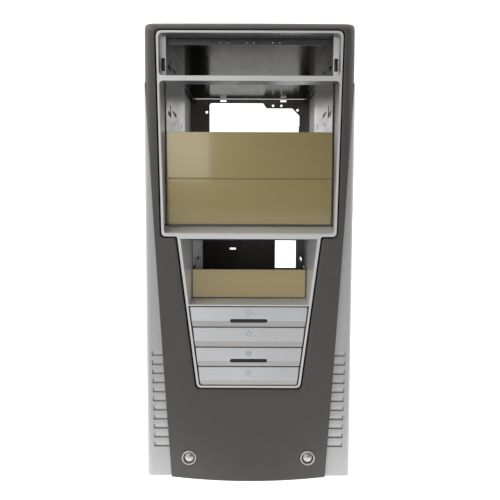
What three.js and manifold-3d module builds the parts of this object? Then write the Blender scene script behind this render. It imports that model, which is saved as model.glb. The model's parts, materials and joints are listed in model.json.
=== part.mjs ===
// An empty mid-tower computer case: plastic bezel, steel chassis and sliding side panels.
// Millimetres, +Z up. The origin is on the floor under the middle of the case and the front faces -Y.
// "Left" and "right" are as seen by someone who looks at the front.
import * as THREE from "three";
import { mergeVertices } from "three/addons/utils/BufferGeometryUtils.js";
import Module from "manifold-3d";

const wasm = await Module();
wasm.setup();

// ---- driving dimensions ----
const HALF_WIDTH = 90.7;
const HALF_DEPTH = 227;
const TOP = 401.7; // top of the bezel
const BOTTOM = 5; // underside of the bezel, above the floor
const GAP = 0.3; // between pieces that touch
const SHEET = 1; // steel
const WALL = 2.6; // moulded plastic

const FRONT = -HALF_DEPTH; // foremost point of the shield's belly
const TRIM_Y = FRONT + 9; // front face of the bay trim
const BLANK_Y = TRIM_Y + 20; // front face of the bay blanks
const BEZEL_BACK = BLANK_Y + 1.5;
const STEEL_Y = BEZEL_BACK + GAP; // front face of the steel front frame
const REAR_Y = HALF_DEPTH - 8; // outer face of the rear panel, which the thumbscrews stand out from

// bezel
const CORNER = 9; // round of the shield's upright edges and of its top edge
const WRAP_HALF = 89.9; // half width of the shield where it wraps round the bezel
const WING_CORNER = 5; // round of the wings' upright edges
const WEB_Y = TRIM_Y + 3.4; // front face of the wings
const WING_TOP = 352; // above this the shield wraps round the whole bezel
const SHIELD_FOOT_HALF = 68.4;
const SHIELD_TOP_HALF = 89.2;
const SHIELD_BOW = { half: 80.1, z: 178.5 }; // control point of the shield's bowed side
const SHIELD_EDGE = 8; // how far behind the trim's front the shield reaches beside the wings
const BELLY = { top: 95, high: 1, low: 9 }; // the shield's bulge, which grows below the bars

// bay trim: a wide frame for the 5.25 inch bays on a tapering one for the 3.5 inch bays and the bars
const TRIM_TOP = 394.2;
const TRIM_TOP_HALF = 79.2;
const SHOULDER_Z = 220.3;
const SHOULDER_HALF = 75.7;
const NECK_HALF = 62.25;
const TRIM_FOOT_Z = 86.65;
const TRIM_FOOT_HALF = 45.4;
const TRIM_RIM = 2;
const CROSSBAR = { bottom: 352.6, top: 356.9 };
const TRIM_GAP = 1.4; // dark line between the trim and the shield

// the four bars under the bays, from the top down
const BAR_TOPS = [158.3, 140.1, 122.2, 104.9];
const BARS_FOOT = 88.9;
const BARS_TOP_HALF = 51.4;
const BARS_FOOT_HALF = 42.4;
const BAR_GAP = 1.05;
const BAR_DEPTH = 6;
const LENS = { half: 16.3, radius: 1.6 };
const BRACKET_Y = BLANK_Y - 4; // front face of the bracket that carries the switches
const BRACKET_SCREW = { x: 38, z: 97 };

// studs
const STUD = { x: 52.5, z: 23.9, ring: 6.5, bore: 5.1, head: 4.3 };

// louvres
const LOUVRES = 11;
const LOUVRE_PITCH = 8.26;
const LOUVRE_LOW = 31.5;
const LOUVRE_HEIGHT = 5;
const LOUVRE_SLOT = { height: 1.3, depth: 1.8, tick: 1.1, rise: 4.2 };
const LOUVRE_END = { low: 84, step: 0.17 };

// hooks that hold the bezel in the front frame
const HOOK = { x: 84, z: [60, 200, 330] };

// chassis
const CHASSIS_HALF = 88.2;
const PANEL_IN = 88.6; // inner face of the side panels
const DECK_HALF = 82; // top and base panels
const DECK_FLANGE = 8;
const ROOF_Z = 399.4;
const FLOOR_Z = 8;
const BAY_HALF = 73.5; // 5.25 inch drives are 146 mm wide
const BAY_FLOOR = 228;
const BAY_PITCH = 42;
const CAGE_DEPTH = 165;
const SMALL_HALF = 51.2; // 3.5 inch drives are 101.6 mm wide
const SMALL_FOOT = 62;
const SMALL_DEPTH = 130;
const TRAY_X = 86;

// rear panel
const PSU = { left: -60.8, right: 74.9, bottom: 318, top: 393, step: 20, drop: 7.5, chamfer: 11 };
const IO = { left: 39.5, right: 83.95, bottom: 143.5, top: 302.25 };
const SLOTS = 6;
const SLOT_PITCH = 20.32;
const SLOT_TOP_Z = 126;
const SLOT_HALF = 7.5;
const SLOT_LEFT = -30.8;
const SLOT_RIGHT = 76;
const LEDGE_X = -29;
const THUMB = { x: 81, z: [60, 350], radius: 6 };
const PANEL_FLANGE = 4.6;

const FOOT = { x: 66, y: [-150, 170], radius: 14 };

// ---- materials ----
const paint = (color, roughness, metalness) =>
  new THREE.MeshStandardMaterial({ color, roughness, metalness });
const SILVER = paint(0xb9b9b7, 0.45, 0.3);
const BAR_SILVER = paint(0xc2c5c8, 0.35, 0.4);
const GRAPHITE = paint(0x555453, 0.45, 0.3);
const SMOKED = paint(0x1c1c20, 0.2, 0);
const CHROME = paint(0xd8d8d8, 0.15, 1);
const STEEL = paint(0xa8a6a2, 0.35, 0.9);
const CHROMATE = paint(0x8c7d52, 0.2, 0.9);
const PANEL_PAINT = paint(0x8e8f90, 0.5, 0.3);
const BLACK = paint(0x141414, 0.6, 0);
const RUBBER = paint(0x1b1b1b, 0.9, 0);
const CLEAR = paint(0xdfe6e2, 0.15, 0);

// ---- geometry helpers ----
function solid(geometry) {
  const bare = new THREE.BufferGeometry();
  bare.setAttribute("position", geometry.getAttribute("position").clone());
  if (geometry.index) bare.setIndex(geometry.index.clone());
  const merged = mergeVertices(bare, 1e-4);
  return new wasm.Manifold(
    new wasm.Mesh({
      numProp: 3,
      vertProperties: new Float32Array(merged.attributes.position.array),
      triVerts: new Uint32Array(merged.index.array),
    }),
  );
}

function join(...solids) {
  return solids.reduce((a, b) => a.add(b));
}

function cut(body, ...tools) {
  return tools.reduce((a, b) => a.subtract(b), body);
}

function box(x0, x1, y0, y1, z0, z1) {
  const g = new THREE.BoxGeometry(x1 - x0, y1 - y0, z1 - z0);
  g.translate((x0 + x1) / 2, (y0 + y1) / 2, (z0 + z1) / 2);
  return solid(g);
}

// A round rod along Y.
function rodY(radius, x, z, y0, y1, sides = 16) {
  const g = new THREE.CylinderGeometry(radius, radius, y1 - y0, sides);
  g.translate(x, (y0 + y1) / 2, z);
  return solid(g);
}

// A round rod along X.
function rodX(radius, y, z, x0, x1, sides = 12) {
  const g = new THREE.CylinderGeometry(radius, radius, x1 - x0, sides);
  g.rotateZ(Math.PI / 2);
  g.translate((x0 + x1) / 2, y, z);
  return solid(g);
}

const FLAT = { bevelEnabled: false, curveSegments: 5 };

// A shape drawn in X and Z, from y0 to y1.
function plateY(shape, y0, y1) {
  const g = new THREE.ExtrudeGeometry(shape, { ...FLAT, depth: y1 - y0 });
  g.rotateX(Math.PI / 2);
  g.translate(0, y1, 0);
  return solid(g);
}

// A shape drawn in Y and Z, from x0 to x1.
function plateX(shape, x0, x1) {
  const g = new THREE.ExtrudeGeometry(shape, { ...FLAT, depth: x1 - x0 });
  const axes = new THREE.Matrix4().makeBasis(
    new THREE.Vector3(0, 1, 0),
    new THREE.Vector3(0, 0, 1),
    new THREE.Vector3(1, 0, 0),
  );
  g.applyMatrix4(axes);
  g.translate(x0, 0, 0);
  return solid(g);
}

// A shape drawn in X and Y, from z0 to z1.
function plateZ(shape, z0, z1) {
  const g = new THREE.ExtrudeGeometry(shape, { ...FLAT, depth: z1 - z0 });
  g.translate(0, 0, z0);
  return solid(g);
}

// A closed outline from corners [a, b, radius], each corner rounded by its radius.
function outline(corners) {
  const shape = new THREE.Shape();
  corners.forEach(([a, b, radius = 0], i) => {
    const before = corners.at(i - 1);
    const after = corners[(i + 1) % corners.length];
    const here = new THREE.Vector2(a, b);
    const back = new THREE.Vector2(before[0], before[1]).sub(here).setLength(radius || 1e-9);
    const on = new THREE.Vector2(after[0], after[1]).sub(here).setLength(radius || 1e-9);
    const start = radius ? here.clone().add(back) : here;
    if (i === 0) shape.moveTo(start.x, start.y);
    else shape.lineTo(start.x, start.y);
    if (radius) shape.quadraticCurveTo(a, b, a + on.x, b + on.y);
  });
  shape.closePath();
  return shape;
}

// The same outline on both sides of the middle plane, from its right-hand corners.
function mirrored(corners) {
  const left = corners.map(([a, b, radius]) => [-a, b, radius]).reverse();
  return outline([...corners, ...left]);
}

// A block whose front and back are trapezoids: { half: [low, high], z: [low, high] }.
function taper(front, frontY, back, backY) {
  const g = new THREE.BoxGeometry(2, 2, 2);
  const p = g.attributes.position;
  for (let i = 0; i < p.count; i++) {
    const face = p.getY(i) < 0 ? front : back;
    const level = p.getZ(i) < 0 ? 0 : 1;
    p.setXYZ(i, p.getX(i) * face.half[level], p.getY(i) < 0 ? frontY : backY, face.z[level]);
  }
  return solid(g);
}

const model = new THREE.Group();

function add(name, body, material) {
  const { numProp, vertProperties, triVerts } = body.getMesh();
  const xyz = new Float32Array((vertProperties.length / numProp) * 3);
  for (let i = 0; i < xyz.length / 3; i++) {
    xyz.set(vertProperties.subarray(i * numProp, i * numProp + 3), i * 3);
  }
  const g = new THREE.BufferGeometry();
  g.setAttribute("position", new THREE.BufferAttribute(xyz, 3));
  g.setIndex(new THREE.BufferAttribute(triVerts, 1));
  g.computeVertexNormals();
  const mesh = new THREE.Mesh(g, material);
  mesh.name = name;
  model.add(mesh);
}

const SIDES = [
  ["left", -1],
  ["right", 1],
];

// ---- bezel ----

// Half the shield's width at a height.
function shieldHalf(z) {
  const t = Math.min(Math.max((z - BOTTOM) / (WING_TOP - BOTTOM), 0), 1);
  return (
    (1 - t) * (1 - t) * SHIELD_FOOT_HALF +
    2 * t * (1 - t) * SHIELD_BOW.half +
    t * t * SHIELD_TOP_HALF
  );
}

// The front surface of the shield: a belly near the foot, and round upright and top edges.
function shieldY(x, z) {
  const drop = Math.min(Math.max((BELLY.top - z) / (BELLY.top - BOTTOM), 0), 1);
  const belly = BELLY.high + (BELLY.low - BELLY.high) * drop * drop;
  const across = Math.min(Math.abs(x) / shieldHalf(z), 1);
  const side = Math.min(Math.max(Math.abs(x) - (WRAP_HALF - CORNER), 0), CORNER);
  const roof = Math.min(Math.max(z - (TOP - CORNER), 0), CORNER);
  const round = (d) => CORNER - Math.sqrt(CORNER * CORNER - d * d);
  return TRIM_Y - belly * (1 - across * across) + round(side) + round(roof);
}

// The shield's outer form, moved in by inset, with finer steps towards its rounded edges.
function envelope(inset) {
  const g = new THREE.BoxGeometry(2, 2, 2, 18, 1, 14);
  const p = g.attributes.position;
  for (let i = 0; i < p.count; i++) {
    const x = (WRAP_HALF - inset) * Math.sin((p.getX(i) * Math.PI) / 2);
    const rise = (1 - Math.cos(((p.getZ(i) + 1) / 2) * Math.PI)) / 2;
    const z = BOTTOM + (TOP - inset - BOTTOM) * rise;
    const front = Math.min(shieldY(x, z) + inset, BEZEL_BACK - 1);
    p.setXYZ(i, x, p.getY(i) < 0 ? front : BEZEL_BACK, z);
  }
  return solid(g);
}

// The T-shaped outline of the bay trim, grown all round.
function trimOutline(grow) {
  return mirrored([
    [TRIM_FOOT_HALF + grow, TRIM_FOOT_Z - grow, 4],
    [NECK_HALF + grow, SHOULDER_Z - grow, 2],
    [SHOULDER_HALF + grow, SHOULDER_Z - grow, 4 + grow],
    [TRIM_TOP_HALF + grow, TRIM_TOP + grow, 5 + grow],
  ]);
}

// The region the shield covers: the whole width above the wings, then two bowed sides.
function shieldOutline(grow) {
  const foot = SHIELD_FOOT_HALF + grow;
  const bow = SHIELD_BOW.half + grow;
  const top = SHIELD_TOP_HALF + grow;
  const full = HALF_WIDTH + 1;
  const shape = new THREE.Shape();
  shape.moveTo(-foot, BOTTOM - grow);
  shape.lineTo(foot, BOTTOM - grow);
  shape.quadraticCurveTo(bow, SHIELD_BOW.z, top, WING_TOP);
  shape.lineTo(full, WING_TOP);
  shape.lineTo(full, TOP + 1);
  shape.lineTo(-full, TOP + 1);
  shape.lineTo(-full, WING_TOP);
  shape.lineTo(-top, WING_TOP);
  shape.quadraticCurveTo(-bow, SHIELD_BOW.z, -foot, BOTTOM - grow);
  return shape;
}

function frontShield() {
  const hollow = cut(envelope(WALL), box(-100, 100, -300, 0, 0, BOTTOM));
  const below = box(-100, 100, FRONT - 1, BEZEL_BACK, BOTTOM - 1, BOTTOM + 1);
  const shell = cut(envelope(0), hollow, below.intersect(envelope(WALL)));
  const skin = shell.intersect(plateY(shieldOutline(0), FRONT - 1, BEZEL_BACK + 1));
  const behind = box(-100, 100, TRIM_Y + SHIELD_EDGE, 0, BOTTOM - 1, WING_TOP);
  const bores = SIDES.map(([, side]) =>
    rodY(STUD.ring + 0.4, side * STUD.x, STUD.z, FRONT - 1, BEZEL_BACK),
  );
  return cut(skin, behind, plateY(trimOutline(TRIM_GAP), FRONT - 1, BEZEL_BACK + 1), ...bores);
}

// One louvre: a slot along its foot that turns up at the outer end, and a slope above the slot.
function louvre(side, index) {
  const z = LOUVRE_LOW + index * LOUVRE_PITCH;
  const end = LOUVRE_END.low + index * LOUVRE_END.step;
  const { height, depth, tick, rise } = LOUVRE_SLOT;
  const section = outline([
    [WEB_Y - 1, z],
    [WEB_Y + depth, z],
    [WEB_Y + depth, z + height],
    [WEB_Y + 0.8, z + height],
    [WEB_Y, z + LOUVRE_HEIGHT],
    [WEB_Y - 1, z + LOUVRE_HEIGHT],
  ]);
  const inner = end - tick;
  const along = side < 0 ? plateX(section, -inner - 0.1, -62) : plateX(section, 62, inner + 0.1);
  const [x0, x1] = side < 0 ? [-end, -inner] : [inner, end];
  return along.add(box(x0, x1, WEB_Y - 1, WEB_Y + depth, z, z + rise));
}

function bezelBase() {
  const half = HALF_WIDTH;
  const inner = HALF_WIDTH - WALL;
  const shell = plateZ(
    outline([
      [-half, BEZEL_BACK],
      [-half, WEB_Y, WING_CORNER],
      [half, WEB_Y, WING_CORNER],
      [half, BEZEL_BACK],
      [inner, BEZEL_BACK],
      [inner, WEB_Y + WALL, WING_CORNER - WALL],
      [-inner, WEB_Y + WALL, WING_CORNER - WALL],
      [-inner, BEZEL_BACK],
    ]),
    BOTTOM,
    WING_TOP - GAP,
  );
  const web = box(-83.5, 83.5, WEB_Y, WEB_Y + WALL, WING_TOP - 1, TOP - CORNER - WALL);
  const sole = box(-inner - 1, inner + 1, WEB_Y + 1, BEZEL_BACK, BOTTOM, BOTTOM + WALL);
  const lipRegion = box(-64, 64, FRONT, WEB_Y + 1, BOTTOM, BOTTOM + WALL);
  const lip = envelope(WALL + GAP).intersect(lipRegion);
  const hooks = SIDES.flatMap(([, side]) =>
    HOOK.z.map((z) => {
      const x = side * HOOK.x;
      return box(x - 2, x + 2, WEB_Y + WALL - 1, STEEL_Y + 6, z - 5, z + 5);
    }),
  );
  const louvres = SIDES.flatMap(([, side]) =>
    Array.from({ length: LOUVRES }, (_, index) => louvre(side, index)),
  );
  const bores = SIDES.map(([, side]) =>
    rodY(2.4, side * STUD.x, STUD.z, WEB_Y - 1, WEB_Y + WALL + 1),
  );
  const opening = plateY(trimOutline(TRIM_GAP + 0.2), FRONT - 1, BEZEL_BACK - 0.1);
  const covered = plateY(shieldOutline(GAP), FRONT - 1, TRIM_Y + SHIELD_EDGE + GAP);
  const seat = cut(covered, envelope(WALL + GAP));
  return cut(join(shell, web, sole, lip, ...hooks), opening, seat, ...louvres, ...bores);
}

// ---- bay trim ----
function bayTrim() {
  const back = BLANK_Y - GAP;
  const body = plateY(trimOutline(0), TRIM_Y, back);
  const rim = TRIM_TOP_HALF - TRIM_RIM;
  const waist = SHOULDER_HALF - TRIM_RIM;
  const flangeY = TRIM_Y + 14;
  const roof = TRIM_TOP - 1.9;
  const bayBack = 74.8;
  const topMouth = plateY(
    mirrored([
      [rim - 0.2, CROSSBAR.top, 4],
      [rim, roof, 4],
    ]),
    TRIM_Y - 1,
    flangeY,
  );
  const topBack = box(-72.5, 72.5, flangeY - 1, back + 1, CROSSBAR.top, roof);
  const windows = SIDES.map(([, side]) => {
    const x = side * 75;
    return box(x - 1.6, x + 1.6, flangeY - 1, back + 1, 363, 374);
  });
  const mainMouth = plateY(
    mirrored([
      [waist, SHOULDER_Z + 2.1, 4],
      [rim - 0.2, CROSSBAR.bottom, 4],
    ]),
    TRIM_Y - 1,
    TRIM_Y + 2,
  );
  const mainBay = taper(
    { half: [waist - 0.3, rim - 0.6], z: [SHOULDER_Z + 2.7, CROSSBAR.bottom] },
    TRIM_Y + 1,
    { half: [bayBack, bayBack], z: [BAY_FLOOR + 0.4, CROSSBAR.bottom] },
    back + 1,
  );
  const smallBay = taper(
    { half: [52.6, 59.5], z: [160.6, 218.2] },
    TRIM_Y - 0.01,
    { half: [51.4, 51.4], z: [163.5, 215.5] },
    back + 1,
  );
  const bars = plateY(
    mirrored([
      [BARS_FOOT_HALF + 1.2, BARS_FOOT - 0.6, 2],
      [BARS_TOP_HALF + 1.4, BAR_TOPS[0] + 1.2, 0.5],
    ]),
    TRIM_Y - 1,
    back + 1,
  );
  const bosses = SIDES.map(([, side]) => {
    const { x, z } = BRACKET_SCREW;
    const post = box(side * x - 3, side * x + 3, BRACKET_Y - 7, BRACKET_Y - GAP, TRIM_FOOT_Z + 1, z + 4);
    return cut(post, rodY(1.7, side * x, z, BRACKET_Y - 6, BRACKET_Y, 10));
  });
  const hollow = cut(body, topMouth, topBack, ...windows, mainMouth, mainBay, smallBay, bars);
  return join(hollow, ...bosses);
}

// ---- the four bars ----
const barTop = (index) => BAR_TOPS[index];
const barFoot = (index) => (index < 3 ? BAR_TOPS[index + 1] + BAR_GAP : BARS_FOOT);
const barMiddle = (index) => (barTop(index) + barFoot(index)) / 2;
const creaseZ = (index) => barTop(index) - 0.69 * (barTop(index) - barFoot(index));

// A bar whose face is proudest along a crease two thirds of the way down.
function bar(index) {
  const top = barTop(index);
  const foot = barFoot(index);
  const section = outline([
    [TRIM_Y + BAR_DEPTH, foot],
    [TRIM_Y + 1, foot],
    [TRIM_Y - 0.4, creaseZ(index)],
    [TRIM_Y + 1.2, top],
    [TRIM_Y + BAR_DEPTH, top],
  ]);
  const wedge = mirrored([
    [BARS_FOOT_HALF, BARS_FOOT, 2],
    [BARS_TOP_HALF, BAR_TOPS[0], 0.5],
  ]);
  return plateX(section, -60, 60).intersect(plateY(wedge, TRIM_Y - 1, TRIM_Y + BAR_DEPTH));
}

function slot(half, radius, z) {
  return outline([
    [-half, z - radius, radius],
    [half, z - radius, radius],
    [half, z + radius, radius],
    [-half, z + radius, radius],
  ]);
}

function lightBar(index) {
  const window = slot(LENS.half, LENS.radius, creaseZ(index));
  return cut(bar(index), plateY(window, TRIM_Y - 2, TRIM_Y + BAR_DEPTH + 1));
}

function lens(index) {
  const body = slot(LENS.half - GAP, LENS.radius - GAP, creaseZ(index));
  return plateY(body, TRIM_Y + 0.3, TRIM_Y + BAR_DEPTH);
}

// A button is a bar with a stem behind it that meets the switch.
const STEM_END = TRIM_Y + BAR_DEPTH + 1;
function buttonBar(index) {
  return join(bar(index), rodY(2.6, 0, barMiddle(index), TRIM_Y + BAR_DEPTH - 1, STEM_END));
}

// ---- switches and lights behind the bars ----
const SWITCH = { half: 4, depth: 4.5, bore: 2, plunger: 1.6 };

function switchBody(index) {
  const z = barMiddle(index);
  const y = BRACKET_Y - GAP;
  const block = box(-SWITCH.half, SWITCH.half, y - SWITCH.depth, y, z - SWITCH.half, z + SWITCH.half);
  return cut(block, rodY(SWITCH.bore, 0, z, y - SWITCH.depth - 1, y + 1, 12));
}

function plunger(index) {
  const inside = BRACKET_Y - SWITCH.depth + 0.5;
  return rodY(SWITCH.plunger, 0, barMiddle(index), STEM_END + GAP, inside, 12);
}

// A 5 mm LED: a domed lens on a wider foot, turned to face forward.
function led(index) {
  const profile = [[0, 0], [2.9, 0], [2.9, 1], [2.5, 1], [2.5, 3.6]].map(
    ([r, h]) => new THREE.Vector2(r, h),
  );
  for (let i = 1; i <= 4; i++) {
    const turn = (i * Math.PI) / 8;
    profile.push(new THREE.Vector2(i === 4 ? 0 : 2.5 * Math.cos(turn), 3.6 + 2.5 * Math.sin(turn)));
  }
  const g = new THREE.LatheGeometry(profile, 12);
  g.rotateX(Math.PI);
  g.translate(0, BRACKET_Y - GAP, creaseZ(index));
  return solid(g);
}

function controlBracket() {
  const plate = box(-42, 42, BRACKET_Y, BRACKET_Y + 2, BARS_FOOT + 0.4, BAR_TOPS[0] - 2);
  const holes = [1, 3].map((i) =>
    rodY(SWITCH.bore + 0.6, 0, barMiddle(i), BRACKET_Y - 1, BRACKET_Y + 3, 12),
  );
  const leads = [0, 2].map((i) => rodY(1.5, 0, creaseZ(i), BRACKET_Y - 1, BRACKET_Y + 3, 8));
  const ends = [-1, 1].map((s) =>
    rodY(1.8, s * BRACKET_SCREW.x, BRACKET_SCREW.z, BRACKET_Y - 1, BRACKET_Y + 3, 10),
  );
  return cut(plate, ...holes, ...leads, ...ends);
}

function bracketScrew(side) {
  const { x, z } = BRACKET_SCREW;
  const y = BRACKET_Y + 2 + GAP;
  return join(
    rodY(3, side * x, z, y, y + 1.6, 12),
    rodY(1.4, side * x, z, BRACKET_Y - 5, y + 0.5, 8),
  );
}

// ---- studs ----
function turned(profile, x, y, z) {
  const g = new THREE.LatheGeometry(
    profile.map(([r, h]) => new THREE.Vector2(r, h)),
    20,
  );
  g.rotateX(Math.PI);
  g.translate(x, y, z);
  return solid(g);
}

function stud(side) {
  const x = side * STUD.x;
  const face = shieldY(x, STUD.z);
  const inner = WEB_Y + WALL + 3;
  const depth = inner - face;
  const ring = turned(
    [[STUD.bore, 0], [STUD.ring, 0], [STUD.ring, 4.6], [STUD.ring - 0.7, 5.2],
      [STUD.bore + 0.5, 5.2], [STUD.bore, 4.8], [STUD.bore, 0]],
    x,
    face + 4,
    STUD.z,
  );
  const head = turned(
    [[0, 0], [1.9, 0], [1.9, depth - 2.5], [STUD.head, depth - 2.5], [STUD.head, depth - 0.4],
      [STUD.head * 0.8, depth + 0.7], [STUD.head * 0.45, depth + 1.4], [0, depth + 1.6]],
    x,
    inner,
    STUD.z,
  );
  return { ring, head };
}

// ---- bay blanks ----
function blank(half, low, high) {
  const face = box(-half, half, BLANK_Y, BLANK_Y + 0.8, low, high);
  const inside = half - 2.2;
  const hem = cut(
    box(-inside, inside, BLANK_Y + 0.5, STEEL_Y + 5, low + 2, high - 2),
    box(-inside + 1, inside - 1, BLANK_Y + 0.8, STEEL_Y + 6, low + 3, high - 3),
  );
  return join(face, hem);
}

// The upper blank's tongue closes the gap between the two from behind.
function upperBlank(half, low, high) {
  const reach = half - 3;
  const tongue = box(-reach, reach, BLANK_Y + 1.3, BLANK_Y + 2.3, low - 2.2, low + 2.5);
  return join(blank(half, low, high), tongue);
}

// ---- chassis ----
function frontFrame() {
  const y1 = STEEL_Y + SHEET;
  const sheet = box(-CHASSIS_HALF, CHASSIS_HALF, STEEL_Y, y1, FLOOR_Z + 1.3, ROOF_Z - GAP);
  const flanges = SIDES.map(([, side]) => {
    const x = side * (CHASSIS_HALF - SHEET / 2);
    return box(x - SHEET / 2, x + SHEET / 2, STEEL_Y, STEEL_Y + 14, FLOOR_Z + 1.3, ROOF_Z - GAP);
  });
  const bays = box(-75, 75, STEEL_Y - 1, y1 + 1, BAY_FLOOR + 2, 387);
  const small = box(-50.2, 50.2, STEEL_Y - 1, y1 + 1, 162.5, 216);
  const vents = Array.from({ length: 7 }, (_, i) =>
    box(-40, 40, STEEL_Y - 1, y1 + 1, 24 + i * 9, 29 + i * 9),
  );
  const hookHoles = SIDES.flatMap(([, side]) =>
    HOOK.z.map((z) => {
      const x = side * HOOK.x;
      return box(x - 2.6, x + 2.6, STEEL_Y - 1, y1 + 1, z - 5.6, z + 5.6);
    }),
  );
  const dimples = [-22.5, 0.5, 23.5].flatMap((x) => [dimple(x - 3.1), dimple(x + 3.1)]);
  return cut(join(sheet, ...flanges, ...dimples), bays, small, ...vents, ...hookHoles);
}

// A small boss pressed out of the front frame above the bays.
function dimple(x) {
  const g = new THREE.SphereGeometry(1.3, 10, 6);
  g.scale(1, 0.6, 1);
  g.translate(x, STEEL_Y + 0.2, 389.4);
  return solid(g);
}

// A shallow channel: a flat sheet with a flange along each long edge.
function deck(z0, flangeZ0, flangeZ1) {
  const y0 = STEEL_Y + SHEET + GAP;
  const y1 = REAR_Y - SHEET - GAP;
  const sheet = box(-DECK_HALF, DECK_HALF, y0, y1, z0, z0 + SHEET);
  const flanges = SIDES.map(([, side]) => {
    const x = side * (DECK_HALF - SHEET / 2);
    return box(x - SHEET / 2, x + SHEET / 2, y0, y1, flangeZ0, flangeZ1);
  });
  return join(sheet, ...flanges);
}

// Punched openings of a drive cage wall: two long slots and round holes for each bay.
function cagePunches(x, depth, levels) {
  const y0 = STEEL_Y + SHEET;
  return levels.flatMap((z) => [
    box(x - 2, x + 2, y0 + 12, y0 + 34, z - 2, z + 2),
    box(x - 2, x + 2, y0 + 28, y0 + 34, z - 2, z + 9),
    box(x - 2, x + 2, y0 + 48, y0 + 78, z + 3, z + 6.5),
    rodX(2, y0 + 62, z - 5, x - 2, x + 2, 8),
    rodX(2.6, y0 + depth - 34, z, x - 2, x + 2, 8),
  ]);
}

function cageWall(side) {
  const x = side * (BAY_HALF + SHEET / 2);
  const y0 = STEEL_Y + SHEET + GAP;
  const top = ROOF_Z - GAP;
  const wall = box(x - SHEET / 2, x + SHEET / 2, y0, y0 + CAGE_DEPTH, BAY_FLOOR, top);
  const lip = side * (BAY_HALF + 6);
  const inner = Math.min(x, lip);
  const flange = box(inner, inner + 6, y0 + CAGE_DEPTH - SHEET, y0 + CAGE_DEPTH, BAY_FLOOR, top);
  const levels = [0, 1, 2, 3].map((i) => BAY_FLOOR + 18 + i * BAY_PITCH);
  return cut(join(wall, flange), ...cagePunches(x, CAGE_DEPTH, levels));
}

function smallCage() {
  const y0 = STEEL_Y + SHEET + GAP;
  const y1 = y0 + SMALL_DEPTH;
  const out = SMALL_HALF + SHEET;
  const roof = BAY_FLOOR - 3;
  const bodyBox = box(-out, out, y0, y1, SMALL_FOOT, roof);
  const inside = box(-SMALL_HALF, SMALL_HALF, y0 - 1, y1 + 1, SMALL_FOOT - 1, roof - SHEET);
  const levels = [0, 1, 2, 3, 4].map((i) => SMALL_FOOT + 22 + i * 26);
  const punches = SIDES.flatMap(([, side]) =>
    cagePunches(side * (SMALL_HALF + SHEET / 2), SMALL_DEPTH, levels),
  );
  return cut(bodyBox, inside, ...punches);
}

function bayShelf() {
  const y0 = STEEL_Y + SHEET + GAP;
  return box(-BAY_HALF + GAP, BAY_HALF - GAP, y0, y0 + CAGE_DEPTH, BAY_FLOOR - 2, BAY_FLOOR - 1);
}

// The mainboard tray, with a cone pressed out of it under each mainboard fixing.
function mainboardTray() {
  const y1 = REAR_Y - SHEET - GAP;
  const sheet = box(TRAY_X, TRAY_X + SHEET, -62, y1, FLOOR_Z + 5, IO.top + 8);
  const cones = [22, 157, 290].flatMap((z) =>
    [-40, 84, 200].map((y) => {
      const g = new THREE.CylinderGeometry(5, 2.6, 4.2, 8);
      g.rotateZ(-Math.PI / 2);
      g.translate(TRAY_X - 1.6, y, z);
      return solid(g);
    }),
  );
  return join(sheet, ...cones);
}

// ---- rear panel ----
const slotZ = (index) => SLOT_TOP_Z - index * SLOT_PITCH;

function psuCutout() {
  return outline([
    [PSU.left, PSU.bottom, 3],
    [PSU.right, PSU.bottom, 3],
    [PSU.right, PSU.top - PSU.drop - PSU.chamfer],
    [PSU.right - PSU.chamfer, PSU.top - PSU.drop],
    [PSU.step + 5, PSU.top - PSU.drop],
    [PSU.step, PSU.top],
    [PSU.left, PSU.top, 4],
  ]);
}

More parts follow.
